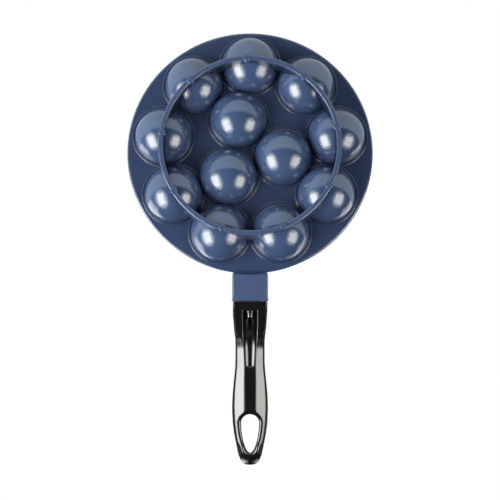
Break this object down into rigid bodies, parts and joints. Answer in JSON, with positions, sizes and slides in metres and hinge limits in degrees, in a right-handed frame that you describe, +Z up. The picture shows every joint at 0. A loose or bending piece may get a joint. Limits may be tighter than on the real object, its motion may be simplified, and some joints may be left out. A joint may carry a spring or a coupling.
{
  "type": "paniyaram pan",
  "caption": "Round rimmed pan with domed cups cast in one with a stand ring, and a moulded handle with a hang hole.",
  "frame": {"origin": "bottom centre of the whole pan's box, on the surface that the stand ring rests on", "axes": "+Z up with the cups opening upwards, +Y from the handle's tip towards the pan, +X to the right"},
  "size_m": [0.2306, 0.405, 0.0616],
  "materials": {
    "pan_coating": "die-cast aluminium under a satin navy-blue non-stick coating with a faint orange peel",
    "guard_coating": "cast aluminium sleeve in the same navy-blue coating, smoother than the pan",
    "black_phenolic": "glossy compression-moulded black phenolic",
    "plated_steel": "bright zinc-plated steel"
  },
  "bodies": {
    "root": {"pan_casting": "pan_coating", "handle_guard": "guard_coating", "handle": "black_phenolic", "handle_screw": "plated_steel", "flat_washer": "plated_steel", "spring_washer": "plated_steel"}
  },
  "joints": []
}
